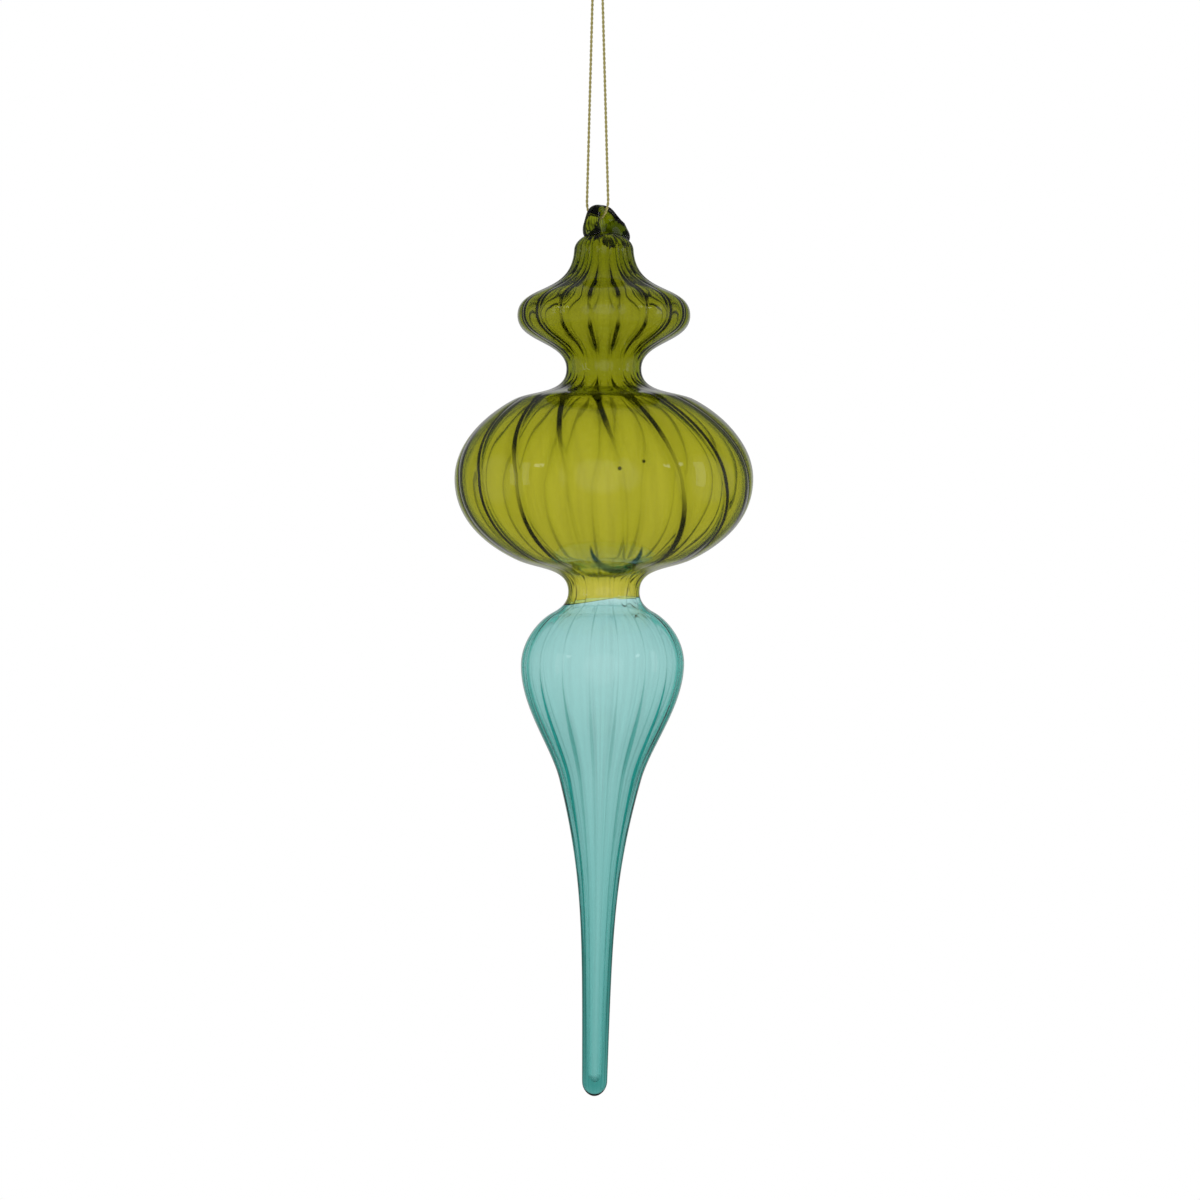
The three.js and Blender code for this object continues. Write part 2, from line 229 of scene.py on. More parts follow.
# How finely the foil is wrapped and how far the wrap wanders, how fine and broken its painted glints
# are, and the strength and depth of its relief
WRAP_SCALE = 2.2
WRAP_WANDERS = 1.5
GLINT_SCALE = 2600
GLINT_DETAIL = 2
WRAP_RELIEF = 0.5
WRAP_DEPTH = 0.00005

thread, nodes, links, shader = principled("metallic_thread")
shader.inputs["Metallic"].default_value = FOIL_METALLIC
shader.inputs["Roughness"].default_value = FOIL_ROUGHNESS
uv_map = nodes.new("ShaderNodeUVMap")
uv_map.uv_map = "UVMap"
foil_wrap = nodes.new("ShaderNodeTexWave")
foil_wrap.wave_type = "BANDS"
foil_wrap.bands_direction = "DIAGONAL"
foil_wrap.inputs["Scale"].default_value = WRAP_SCALE
foil_wrap.inputs["Distortion"].default_value = WRAP_WANDERS
links.new(uv_map.outputs["UV"], foil_wrap.inputs["Vector"])
wrap_level = foil_wrap.outputs["Fac"]
glint_paint = nodes.new("ShaderNodeTexNoise")
glint_paint.inputs["Scale"].default_value = GLINT_SCALE
glint_paint.inputs["Detail"].default_value = GLINT_DETAIL
coordinates = nodes.new("ShaderNodeTexCoord")
links.new(coordinates.outputs["Object"], glint_paint.inputs["Vector"])
# The wrap's pattern times the noise gives painted shade in the folds where low, painted glints where
# high
glints_and_fold_shade = worked_out(thread.node_tree, "MULTIPLY", wrap_level, glint_paint.outputs["Fac"])
thread_colour = ramp(thread.node_tree, glints_and_fold_shade, (FOLD_SHADE_LEVEL, FOLD_SHADE_COLOUR), (FOIL_LEVEL, FOIL_AND_GLINT_COLOUR))
links.new(thread_colour, shader.inputs["Base Color"])
thread_bump = nodes.new("ShaderNodeBump")
thread_bump.inputs["Strength"].default_value = WRAP_RELIEF
thread_bump.inputs["Distance"].default_value = WRAP_DEPTH
links.new(wrap_level, thread_bump.inputs["Height"])
links.new(thread_bump.outputs["Normal"], shader.inputs["Normal"])
cord.data.materials.append(thread)


# The knot is an overhand knot in both sides of the thread together, drawn tight, and the two cut
# ends stand up above it. It closes the loop, which hangs from just under it.
KNOT_MIDDLE = 0.0062
# Its curve goes t^3 - 3t across, t^4 - 4t^2 deep and t^5 - 10t tall, each times its own measure, for
# t from minus to plus the knot's end, and it is set back by the last value
KNOT_ACROSS = 0.00034
KNOT_DEEP = 0.00026
KNOT_TALL = 0.00011
KNOT_END = 2.02
KNOT_POINTS = 28
KNOT_SET_BACK = 1.6
# How far each thread lies from the curve, in thread thicknesses, and the tops of the cut ends
THREAD_APART = 0.42
TAIL_TOPS = [(0.0013, -0.0009, 0.0145), (-0.0012, 0.001, 0.0139)]


def knot_route(side):
    """One of the two threads through the knot, from the loop below it to its cut end."""
    across, height = CORD_SIDE[0]
    foot = on_run(side * across, height)
    deep = CORD_ACROSS.cross(Vector((0, 0, 1)))
    turns = []
    for i in range(KNOT_POINTS + 1):
        t = KNOT_END * (2 * i / KNOT_POINTS - 1)
        turns.append(
            CORD_ACROSS * (KNOT_ACROSS * (t**3 - 3 * t))
            + deep * (KNOT_DEEP * (t**4 - 4 * t**2 + KNOT_SET_BACK))
            + Vector((0, 0, KNOT_MIDDLE + KNOT_TALL * (t**5 - 10 * t)))
        )
    shifted = []
    for point, (_, square) in zip(turns, path_frames(turns)):
        shifted.append(point + side * CORD_DIAMETER * THREAD_APART * square)
    tail_top = Vector(TAIL_TOPS[0 if side > 0 else 1])
    return [foot, *shifted, shifted[-1].lerp(tail_top, 0.5), tail_top]


bm = bmesh.new()
for side in (-1, 1):
    add_twisted_cord(bm, smooth_path(knot_route(side), CORD_STEP))
knot = new_object("cord_knot_tied", finished_mesh(bm, "cord_knot_tied"))
knot.data.materials.append(thread)
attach(knot, "knot")
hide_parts("cord_knot")


# The green body is hot olive glass blown in a ribbed mould, so that eighteen grooves run down its
# outside with a rib behind each. The lower bulb was twisted before it set, mostly on its right. It
# is hollow, and thickest round the crown.
GLASS_PLACE = Vector((0.0018, -0.0013, -0.0778))
FLUTES = 18
# From the crown down: half width, height of the stretch above, lean from straight down in degrees,
# reach of the curve above and below, wall, groove, rib inside, twist in degrees, how much more of it
# there is on the right, and how much thinner the wall and deeper the rib are amid the stretch above
STATIONS = [
    (0, 0, 90, 0, 0.0042, 0.0014, 0, 0, 0, 0, 0),
    (0.0085, 0.0053, 3, 0.003, 0.0134, 0.002, 0.0002, 0.0003, 0, 0, 0),
    (0.02465, 0.0188, 0, 0.0091, 0.0075, 0.00135, 0.00025, 0.0003, 0, 0, 0.0005),
    (0.0107, 0.0151, 0, 0.008, 0.0072, 0.0016, 0.00005, 0, 0, 0, 0.0003),
    (0.0257, 0.0088, 62.8, 0.0054, 0.0082, 0.0012, 0.0003, 0.0008, 5, 0, 0.0003),
    (0.0425, 0.0225, 0, 0.0106, 0.0119, 0.0011, 0.00025, 0.0004, 15, 9, 0),
    (0.0247, 0.0231, -65.2, 0.0095, 0.0066, 0.00095, 0.0003, 0.0006, 15, 32, 0),
    (0.01015, 0.0091, 0, 0.007, 0.0031, 0.00085, 0.00005, 0, 21, 20, 0),
    (0.0143, 0.0057, 62.5, 0.002, 0.0046, 0.0011, 0.0001, 0.00005, 21, 0, 0),
    (0.02325, 0.0148, 0, 0.0068, 0.0123, 0.0012, 0.00004, 0.00002, 21, 0, 0),
    (0.01165, 0.033, -14.7, 0.0102, 0.0289, 0.0015, 0.00003, 0.00004, 21, 0, 0),
    (0.0036, 0.0858, -1, 0.042, 0.0022, 0.0023, 0.00001, 0.00001, 21, 0, 0),
    (0, 0.0042, -90, 0.0019, 0, 0.0022, 0, 0, 21, 0, 0),
]
LOWER_NECK_STATION = 7
# The share of the rib's extra depth that the groove outside it has
GROOVE_SHARE = 0.25
# How strongly the ribs' painted shade lines show: the height, counted down from the crown, and the
# strength
RIB_SHADE_LINES = [
    (0, 0), (0.0022, 0), (0.0034, 0.4), (0.0044, 0.4), (0.008, 0.35), (0.012, 0.6), (0.016, 0.8),
    (0.019, 0.8), (0.0241, 0.75), (0.029, 0.85), (0.033, 1), (0.036, 0.3), (0.0392, 0.15),
    (0.043, 0.5), (0.0464, 1.8), (0.0476, 2), (0.05, 0.8), (0.054, 0.65), (0.06, 0.55), (0.0705, 0.5),
    (0.082, 0.5), (0.09, 0.7), (0.0935, 0.7), (0.0965, 0.2), (0.1, 0.25), (0.1027, 0.45),
    (0.1045, 0.4), (0.1058, 0.18), (0.11, 0.22), (0.117, 0.18), (0.1232, 0.16), (0.133, 0.5),
    (0.144, 1.2), (0.156, 1.6), (0.182, 1.5), (0.222, 1.3), (0.24, 0.8), (0.2462, 0),
]
# The side where the lower bulb is twisted most, in degrees round from the front, and how sharply
TWIST_MIDDLE = math.radians(45)
TWIST_SHARPNESS = 4
# Low on the bulb's front the ribs' painted shade lines hardly show: by how much, the cosines round from
# the front between which that starts, and the heights that it lies between and fades over
CLEARED = 0.85
CLEAR_EDGE = 0.9
CLEAR_MIDDLE = 0.95
CLEAR_TOP = -0.076
CLEAR_BOTTOM = -0.1
CLEAR_FADE = 0.005
# The seam lies just under the lower neck, slants and waves. A gap parts the two glasses there, and
# their walls follow the seam as far up and down as its reach.
LOWER_NECK = -0.1027
SEAM = LOWER_NECK - 0.0024
SEAM_SLANT = math.tan(math.radians(6))
SEAM_WAVE = 0.00035
SEAM_WAVE_START = 0.6
SEAM_GAP = 0.00002
SEAM_REACH = 0.005
# The wall is a little thinner just under the seam: by how much, how far under, and its reach
SEAM_THINNED = 0.00005
THINNED_BELOW = 0.0015
THINNED_REACH = 0.005
# The drop leans to the left as it goes down
DROP_LEAN = math.tan(math.radians(1.08))
# The hollow closes above the solid tip: the height where that starts, how many of its half widths it
# takes, and the turns of its round end in degrees
SOLID_TIP = 0.0055
BORE_TAPER = 2
BORE_END_TURNS = (15, 30, 45, 60, 75, 90)
# How far apart the mesh's rows lie outside, inside and in the stem, the length and the half width
# that tell the stem from the other stretches, and the fewest rows in a stretch
ROW_SPACING = 0.00085
BORE_SPACING = 0.0012
STEM_SPACING = 0.0018
STEM_STRETCH = 0.05
STEM_RADIUS = 0.0118
LEAST_ROWS = 3
# The mesh's steps round each flute, how sharp the grooves and ribs are, and under which angle between
# its faces the glass is smooth
GREEN_SEGMENTS = 14
AQUA_SEGMENTS = 20
GROOVE_SHARPNESS = 3
RIB_SHARPNESS = 2
SMOOTH_BELOW = math.radians(50)
# Points of the mesh that are nearer than this are one, and the least half width to divide by
SAME_POINT = 1e-6
LEAST_RADIUS = 1e-9


def outline_rows(spacing):
    """The outline from crown to tip, in rows of r, z, wall, groove, rib, twist and more twist."""
    rows = []
    bottom = 0.0
    for a, b in zip(STATIONS, STATIONS[1:]):
        top, bottom = bottom, bottom - b[1]
        leaving, arriving = math.radians(a[2]), math.radians(b[2])
        p0, p3 = Vector((a[0], top)), Vector((b[0], bottom))
        p1 = p0 + a[4] * Vector((math.sin(leaving), -math.cos(leaving)))
        p2 = p3 - b[3] * Vector((math.sin(arriving), -math.cos(arriving)))
        step = STEM_SPACING if a[0] < STEM_RADIUS and b[1] > STEM_STRETCH else spacing
        length = (p1 - p0).length + (p2 - p1).length + (p3 - p2).length
        count = max(LEAST_ROWS, round(length / step))
        for i in range(0 if not rows else 1, count + 1):
            t = i / count
            s = 1 - t
            r, z = s**3 * p0 + 3 * t * s**2 * p1 + 3 * t * t * s * p2 + t**3 * p3
            wall, groove, rib, twist, more = (x + (y - x) * t for x, y in zip(a[5:10], b[5:10]))
            deeper = b[10] * math.sin(math.pi * t) ** 2
            groove += deeper * GROOVE_SHARE
            rows.append((r, z, wall - deeper, groove, rib + deeper, twist, more))
    return rows


def bore_rows():
    """The inside of the wall, from under the crown down to the solid tip."""
    rows = outline_rows(BORE_SPACING)
    tip = rows[-1][1]
    inside = []
    for i, (r, z, wall, *flute) in enumerate(rows):
        before, after = rows[max(i - 1, 0)], rows[min(i + 1, len(rows) - 1)]
        outwards = Vector((before[1] - after[1], after[0] - before[0])).normalized()
        if i == 0:
            outwards = Vector((0, 1))
        half_width = r - wall * outwards.x
        if half_width > 0 or i == 0:
            inside.append((max(half_width, 0), z - wall * outwards.y, 0, *flute))
    inside = [row for row in inside if row[1] > tip + SOLID_TIP]
    last = inside[-1]
    for turn in BORE_END_TURNS:
        angle = math.radians(turn)
        r = last[0] * math.cos(angle) if turn < 90 else 0
        inside.append((r, last[1] - last[0] * BORE_TAPER * math.sin(angle), *last[2:]))
    return inside


def at_height(rows, z):
    """What the rows, which go down, give at a height."""
    low, high = 0, len(rows) - 1
    while high - low > 1:
        middle = (low + high) // 2
        if rows[middle][1] > z:
            low = middle
        else:
            high = middle
    a, b = rows[low], rows[high]
    t = (a[1] - z) / (a[1] - b[1])
    return tuple(x + (y - x) * t for x, y in zip(a, b))


def part_above(rows, height):
    return [*[row for row in rows if row[1] > height], at_height(rows, height)]


def part_below(rows, height):
    return [at_height(rows, height), *[row for row in rows if row[1] < height]]


def turned_glass(name, outline, segments):
    """An outline of rows that starts and ends on the axis, spun round the axis as a closed piece."""
    bpy.ops.object.select_all(action="DESELECT")
    widest = max(row[0] for row in outline)
    bpy.ops.mesh.primitive_circle_add(vertices=len(outline), radius=widest)
    piece = bpy.context.object
    piece.name = piece.data.name = name
    numbers = piece.data.attributes.new("row", "INT", "POINT").data
    for i, (vertex, row) in enumerate(zip(piece.data.vertices, outline)):
        vertex.co = (row[0], 0, row[1])
        numbers[i].value = i
    bpy.ops.object.mode_set(mode="EDIT")
    bm = bmesh.from_edit_mesh(piece.data)
    bm.verts.ensure_lookup_table()
    bm.edges.remove(bm.edges.get((bm.verts[0], bm.verts[-1])))
    bmesh.update_edit_mesh(piece.data)
    bpy.ops.mesh.select_all(action="SELECT")
    bpy.ops.mesh.spin(steps=segments, angle=2 * math.pi / FLUTES, center=(0, 0, 0), axis=(0, 0, 1))
    bpy.ops.mesh.select_all(action="SELECT")
    bpy.ops.mesh.spin(steps=FLUTES, dupli=True, angle=2 * math.pi, center=(0, 0, 0), axis=(0, 0, 1))
    bpy.ops.mesh.select_all(action="SELECT")
    bpy.ops.mesh.remove_doubles(threshold=SAME_POINT)
    bpy.ops.mesh.normals_make_consistent(inside=False)
    bpy.ops.object.mode_set(mode="OBJECT")
    return piece


def seam_height(around):
    """The seam slants up to the right, and waves a little."""
    r = STATIONS[LOWER_NECK_STATION][0]
    wave = SEAM_WAVE * math.sin(2 * around + SEAM_WAVE_START)
    return SEAM + SEAM_SLANT * r * math.sin(around) + wave


def shade_line_level(angle, z):
    """How strongly the ribs' painted shade lines show at a place on the outside."""
    facing_front = (math.cos(angle) - CLEAR_EDGE) / (CLEAR_MIDDLE - CLEAR_EDGE)
    low_down = min((CLEAR_TOP - z) / CLEAR_FADE, (z - CLEAR_BOTTOM) / CLEAR_FADE)
    cleared = CLEARED * max(min(facing_front, low_down, 1), 0)
    return at_height(rib_shade_lines, z)[0] * (1 - cleared)


def select_only(piece):
    bpy.ops.object.select_all(action="DESELECT")
    piece.select_set(True)
    bpy.context.view_layer.objects.active = piece


def shape_glass(piece, outline):
    """Cuts the grooves, raises the ribs, twists both, slants the seam and leans the drop."""
    mesh = piece.data
    mesh.attributes.new("flute_way", "FLOAT_VECTOR", "POINT")
    mesh.attributes.new("line", "FLOAT", "POINT")
    numbers = mesh.attributes["row"].data
    ways = mesh.attributes["flute_way"].data
    lines = mesh.attributes["line"].data
    for i, vertex in enumerate(mesh.vertices):
        r, z, wall, groove, rib, twist, more = outline[numbers[i].value]
        in_bore = wall == 0
        x, y, _ = vertex.co
        around = math.atan2(x, -y)
        ways[i].vector = (x / max(r, LEAST_RADIUS), y / max(r, LEAST_RADIUS), z)
        on_right = (0.5 + 0.5 * math.cos(around - TWIST_MIDDLE)) ** TWIST_SHARPNESS
        angle = around + math.pi / FLUTES + math.radians(twist + more * on_right)
        # How strongly a painted shade line shows here, none inside the bore
        lines[i].value = 0 if in_bore else shade_line_level(angle, z)
        near_seam = 1 - abs(z - SEAM) / SEAM_REACH
        if near_seam > 0:
            moved = z + near_seam * (seam_height(angle) - SEAM)
            rows = bore if in_bore else outside
            r += at_height(rows, moved)[0] - at_height(rows, z)[0]
            thinned = 1 - abs(z - SEAM + THINNED_BELOW) / THINNED_REACH
            if in_bore and thinned > 0:
                r += SEAM_THINNED * math.sin(math.pi / 2 * thinned) ** 2
            z = moved
        valley = 1 - abs(math.sin(FLUTES * around / 2))
        if r > 0:
            r -= rib * valley**RIB_SHARPNESS if in_bore else groove * valley**GROOVE_SHARPNESS
        lean = min(z - LOWER_NECK, 0) * DROP_LEAN
        vertex.co = (r * math.sin(angle) + lean, -r * math.cos(angle), z)
    mesh.attributes.remove(mesh.attributes["row"])
    mesh.transform(Matrix.Translation(GLASS_PLACE))
    select_only(piece)
    bpy.ops.object.shade_smooth_by_angle(angle=SMOOTH_BELOW)


outside = outline_rows(ROW_SPACING)
bore = bore_rows()
rib_shade_lines = [(strength, -height) for height, strength in RIB_SHADE_LINES]
seam_top = SEAM + SEAM_GAP / 2
green_outline = part_above(outside, seam_top) + part_above(bore, seam_top)[::-1]
green = turned_glass("green_glass_blown", green_outline, GREEN_SEGMENTS)
shape_glass(green, green_outline)
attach(green, "glass")
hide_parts("green_glass_body")


# All three glasses' sheen is a little weaker than plain glass has
GLASS_SHEEN = (0.6, 0.6, 0.6, 1)
GLASS_IOR = 1.5


def clear_glass(name, absorbed, density):
    """Clear coloured glass: a smooth surface, and a colour that deepens with the way through it."""
    material, nodes, links, shader = principled(name)
    shader.inputs["Roughness"].default_value = 0.0
    shader.inputs["IOR"].default_value = GLASS_IOR
    shader.inputs["Transmission Weight"].default_value = 1.0
    shader.inputs["Specular Tint"].default_value = GLASS_SHEEN
    inside = nodes.new("ShaderNodeVolumeAbsorption")
    inside.inputs["Color"].default_value = absorbed
    inside.inputs["Density"].default_value = density
    links.new(inside.outputs["Volume"], nodes["Material Output"].inputs["Volume"])
    return material, shader


def vectors_worked_out(tree, operation, *values):
    """A Vector Math node in a tree, each of its values a vector or a socket; gives its outputs."""
    node = tree.nodes.new("ShaderNodeVectorMath")
    node.operation = operation
    for slot, value in zip(node.inputs, values):
        if isinstance(value, tuple):
            slot.default_value = value
        else:
            tree.links.new(value, slot)
    return node.outputs


def split_up(tree, vector):
    """The X, Y and Z sockets of a socket's vector."""
    node = tree.nodes.new("ShaderNodeSeparateXYZ")
    tree.links.new(vector, node.inputs["Vector"])
    return node.outputs


def between(tree, value, low, high, result_low=0.0, result_high=1.0):
    """A smooth step of a socket's value from one level to another; gives its result's socket."""
    node = tree.nodes.new("ShaderNodeMapRange")
    node.interpolation_type = "SMOOTHSTEP"
    tree.links.new(value, node.inputs["Value"])
    levels = {"From Min": low, "From Max": high, "To Min": result_low, "To Max": result_high}
    for name, level in levels.items():
        node.inputs[name].default_value = level
    return node.outputs["Result"]


def mixed(tree, share, first, second):
    """A mix of two colours, each a colour or a socket, by a socket's share of the second."""
    node = tree.nodes.new("ShaderNodeMix")
    node.data_type = "RGBA"
    tree.links.new(share, node.inputs["Factor"])
    for slot, colour in (("A", first), ("B", second)):
        if isinstance(colour, tuple):
            node.inputs[slot].default_value = colour
        else:
            tree.links.new(colour, node.inputs[slot])
    return node.outputs["Result"]


# A painted shade line is faint where the glass is seen square on, and full from the second slant on
SLANT_FAINT = 0.02
SLANT_DARK = 0.33
FAINT_LINE = 0.12
# The share of a line's width that shows square on and what the slant adds, its soft edge as a share
# of the width and at least, and how fast it turns full with its strength
LINE_KEPT = 0.4
LINE_SLANT_ADDS = 0.6
LINE_SOFT = 0.35
LINE_LEAST_SOFT = 0.01
LINE_FILLS = 2.5
# The soft painted shade beside a line: how many times as wide as the line, its least width and how dark
SHADE_WIDENS = 3.5
SHADE_LEAST = 0.001
LINE_SHADE = 0.32
# The streaks: how fine they are across and down the glass, their detail and their middle level
STREAK_SCALE = (17, 17, 22)
STREAK_DETAIL = 1.5
STREAK_MIDDLE = 0.52
# The slants between which the painted shade near the edges comes, those between which it pales again,
# and to what
EDGE_DEEPENS = (0.64, 0.76)
EDGE_PALES = (0.85, 1.0)
EDGE_KEPT = 0.3
# The heights between which the painted shade above the waist starts
UPPER_SHADE_STARTS = (-0.05, -0.041)
# The colour of a glass where it is clear, and those of its painted shade in its lines, near its edges
# and above the waist
GLASS_PARTS = ("Clear Colour", "Line Shade Colour", "Edge Shade Colour", "Upper Shade Colour")

# The colour and the faint relief of blown glass, for all three glasses. Its painted shade: dark lines
# along the ribs with a soft shade beside them, darkest where the glass is seen at a slant, a deeper
# colour near the edges and a darker one above the waist. Fine streaks run down with the ribs.
blown = bpy.data.node_groups.new("blown_glass", "ShaderNodeTree")
for name in GLASS_PARTS:
    blown.interface.new_socket(name, in_out="INPUT", socket_type="NodeSocketColor")
for name in ("Line Width", "Streaks", "Slant"):
    blown.interface.new_socket(name, in_out="INPUT", socket_type="NodeSocketFloat")
blown.interface.new_socket("Colour", in_out="OUTPUT", socket_type="NodeSocketColor")
blown.interface.new_socket("Height", in_out="OUTPUT", socket_type="NodeSocketFloat")
given = blown.nodes.new("NodeGroupInput").outputs
result = blown.nodes.new("NodeGroupOutput").inputs
flute_way = blown.nodes.new("ShaderNodeAttribute")
flute_way.attribute_name = "flute_way"
rib_line = blown.nodes.new("ShaderNodeAttribute")
rib_line.attribute_name = "line"
line = rib_line.outputs["Fac"]
way = split_up(blown, flute_way.outputs["Vector"])
around_flutes = worked_out(blown, "ARCTAN2", way["X"], way["Y"])
flute_wave = worked_out(blown, "SINE", worked_out(blown, "MULTIPLY", around_flutes, FLUTES / 2))
off_valley = worked_out(blown, "ABSOLUTE", flute_wave)
slanted = between(blown, given["Slant"], SLANT_FAINT, SLANT_DARK, FAINT_LINE, 1)
full_width = worked_out(blown, "MULTIPLY", line, given["Line Width"])
width_shown = worked_out(blown, "MULTIPLY_ADD", slanted, LINE_SLANT_ADDS, LINE_KEPT)
width = worked_out(blown, "MULTIPLY", full_width, width_shown)
within = worked_out(blown, "SUBTRACT", width, off_valley)
soft_edge = worked_out(blown, "MULTIPLY_ADD", width, LINE_SOFT, LINE_LEAST_SOFT)
in_line = worked_out(blown, "DIVIDE", within, soft_edge, clamp=True)
strength = worked_out(blown, "MULTIPLY", line, LINE_FILLS, clamp=True)
strength = worked_out(blown, "MULTIPLY", strength, slanted)
shade_line_mask = worked_out(blown, "MULTIPLY", in_line, strength)
shade_width = worked_out(blown, "MULTIPLY_ADD", width, SHADE_WIDENS, SHADE_LEAST)
out_of_shade = worked_out(blown, "DIVIDE", off_valley, shade_width)
in_shade = worked_out(blown, "SUBTRACT", 1, out_of_shade, clamp=True)
shade = worked_out(blown, "MULTIPLY", worked_out(blown, "MULTIPLY", in_shade, strength), LINE_SHADE)
stretch = blown.nodes.new("ShaderNodeMapping")
stretch.inputs["Scale"].default_value = STREAK_SCALE
blown.links.new(flute_way.outputs["Vector"], stretch.inputs["Vector"])
streak = blown.nodes.new("ShaderNodeTexNoise")
streak.inputs["Scale"].default_value = 1
streak.inputs["Detail"].default_value = STREAK_DETAIL
blown.links.new(stretch.outputs["Vector"], streak.inputs["Vector"])
off_middle = worked_out(blown, "SUBTRACT", streak.outputs["Fac"], STREAK_MIDDLE)
streaks_and_shade = worked_out(blown, "MULTIPLY_ADD", off_middle, given["Streaks"], 1, clamp=True)
# Painted shade near the edges, by how far the glass is seen at a slant
to_edge = between(blown, given["Slant"], *EDGE_DEEPENS)
past_edge = between(blown, given["Slant"], *EDGE_PALES, 1, EDGE_KEPT)
edge_shade_mask = worked_out(blown, "MULTIPLY", to_edge, past_edge)
# Painted shade above the waist, darker than the clear colour
upper = between(blown, way["Z"], *UPPER_SHADE_STARTS)
clear = mixed(blown, upper, given["Clear Colour"], given["Upper Shade Colour"])
edged = mixed(blown, edge_shade_mask, clear, given["Edge Shade Colour"])
# Painted shade: the dark line colour over the ribs' lines
lined = mixed(blown, shade_line_mask, edged, given["Line Shade Colour"])
streaks_and_shade = worked_out(blown, "MULTIPLY", streaks_and_shade, worked_out(blown, "SUBTRACT", 1, shade))
streaked = blown.nodes.new("ShaderNodeVectorMath")
streaked.operation = "SCALE"
blown.links.new(lined, streaked.inputs[0])
blown.links.new(streaks_and_shade, streaked.inputs["Scale"])
blown.links.new(streaked.outputs["Vector"], result["Colour"])
blown.links.new(streak.outputs["Fac"], result["Height"])


# Small dark seeds in the glass: how far each one reaches and where it has faded, and their colour
SEED_REACH = (0.0004, 0.0008)
SEED_COLOUR = (0.02, 0.02, 0.01, 1)
# The loop of painted shade where two ribs' lines close: its colour, how much its line widens towards
# the foot and from what, the line's soft edge, the heights between which its sides fade in, as shares
# of its half height, and the depths between which it ends behind the front
LOOP_SHADE_COLOUR = (0.004, 0.02, 0.05, 1)
LOOP_WIDTHS = (0.1, 0.05)
LOOP_SOFTNESS = 0.06
LOOP_FADES = (-0.1, 0.3)
LOOP_FRONT = (-0.004, 0.0)


def rib_shade_loop(tree, place, middle, half_width, half_height):
    """The mask of a loop of painted shade, the line round the lower half of an oval on the glass's
    front.
    """
    from_middle = vectors_worked_out(tree, "SUBTRACT", place, middle)["Vector"]
    to_oval = (1 / half_width, 0, -1 / half_height)
    in_oval = vectors_worked_out(tree, "MULTIPLY", from_middle, to_oval)["Vector"]
    reach = vectors_worked_out(tree, "LENGTH", in_oval)["Value"]
    depth = split_up(tree, in_oval)["Z"]
    off_line = worked_out(tree, "ABSOLUTE", worked_out(tree, "SUBTRACT", reach, 1))
    down = worked_out(tree, "ADD", depth, 0, clamp=True)
    width = worked_out(tree, "MULTIPLY_ADD", down, *LOOP_WIDTHS)
    within = worked_out(tree, "SUBTRACT", width, off_line)
    in_loop = worked_out(tree, "DIVIDE", within, LOOP_SOFTNESS, clamp=True)
    in_loop = worked_out(tree, "MULTIPLY", in_loop, between(tree, depth, *LOOP_FADES))
    on_front = between(tree, split_up(tree, place)["Y"], *LOOP_FRONT, 1, 0)
    return worked_out(tree, "MULTIPLY", in_loop, on_front)


def blown_finish(material, shader, colours, line_width, streaks, relief=0.0, seeds=(), loops=()):
    """Puts on a glass its painted shade of lines, edges and rib loops, its streaks, relief and dark
    seeds.
    """
    tree = material.node_tree
    slant = tree.nodes.new("ShaderNodeLayerWeight")
    blown_glass = tree.nodes.new("ShaderNodeGroup")
    blown_glass.node_tree = blown
    for part, colour in zip(GLASS_PARTS, colours):
        blown_glass.inputs[part].default_value = colour
    blown_glass.inputs["Line Width"].default_value = line_width
    blown_glass.inputs["Streaks"].default_value = streaks
    tree.links.new(slant.outputs["Facing"], blown_glass.inputs["Slant"])
    shown = blown_glass.outputs["Colour"]
    if seeds or loops:
        place = tree.nodes.new("ShaderNodeTexCoord").outputs["Object"]
    for loop in loops:
        shown = mixed(tree, rib_shade_loop(tree, place, *loop), shown, LOOP_SHADE_COLOUR)
    for seed in seeds:
        apart = vectors_worked_out(tree, "DISTANCE", place, seed)["Value"]
        shown = mixed(tree, between(tree, apart, *SEED_REACH, 1, 0), shown, SEED_COLOUR)
    tree.links.new(shown, shader.inputs["Base Color"])
    if relief:
        bump = tree.nodes.new("ShaderNodeBump")
        bump.inputs["Distance"].default_value = relief
        tree.links.new(blown_glass.outputs["Height"], bump.inputs["Height"])
        tree.links.new(bump.outputs["Normal"], shader.inputs["Normal"])


# The green glass's four colours in that order, its clear colour and three of painted shade, the colour
# that its thickness gives it and how fast, the width of its lines, the strength of its streaks, and the
# places of its seeds
GREEN_COLOURS = [
    (1, 0.913, 1, 1), (0.003, 0.004, 0.001, 1), (0.38, 0.42, 0.15, 1), (0.86, 0.8, 1, 1),
]
GREEN_ABSORBED = (0.762, 0.8, 0.0, 1)
GREEN_DENSITY = 1600
GREEN_LINES = 0.4
GREEN_STREAKS = 0.3
GREEN_SEEDS = [(0.0127, -0.0423, -0.1449), (0.0061, -0.0435, -0.1469), (-0.0112, -0.0398, -0.1361)]
# The middle, half width and half height of the loop of painted shade
GREEN_SHADE_LOOPS = [((0.0052, 0, -0.1673), 0.0071, 0.0068)]

green_glass, shader = clear_glass("green_glass", GREEN_ABSORBED, GREEN_DENSITY)
blown_finish(
    green_glass, shader, GREEN_COLOURS, GREEN_LINES, GREEN_STREAKS,
    seeds=GREEN_SEEDS, loops=GREEN_SHADE_LOOPS,
)
green.data.materials.append(green_glass)


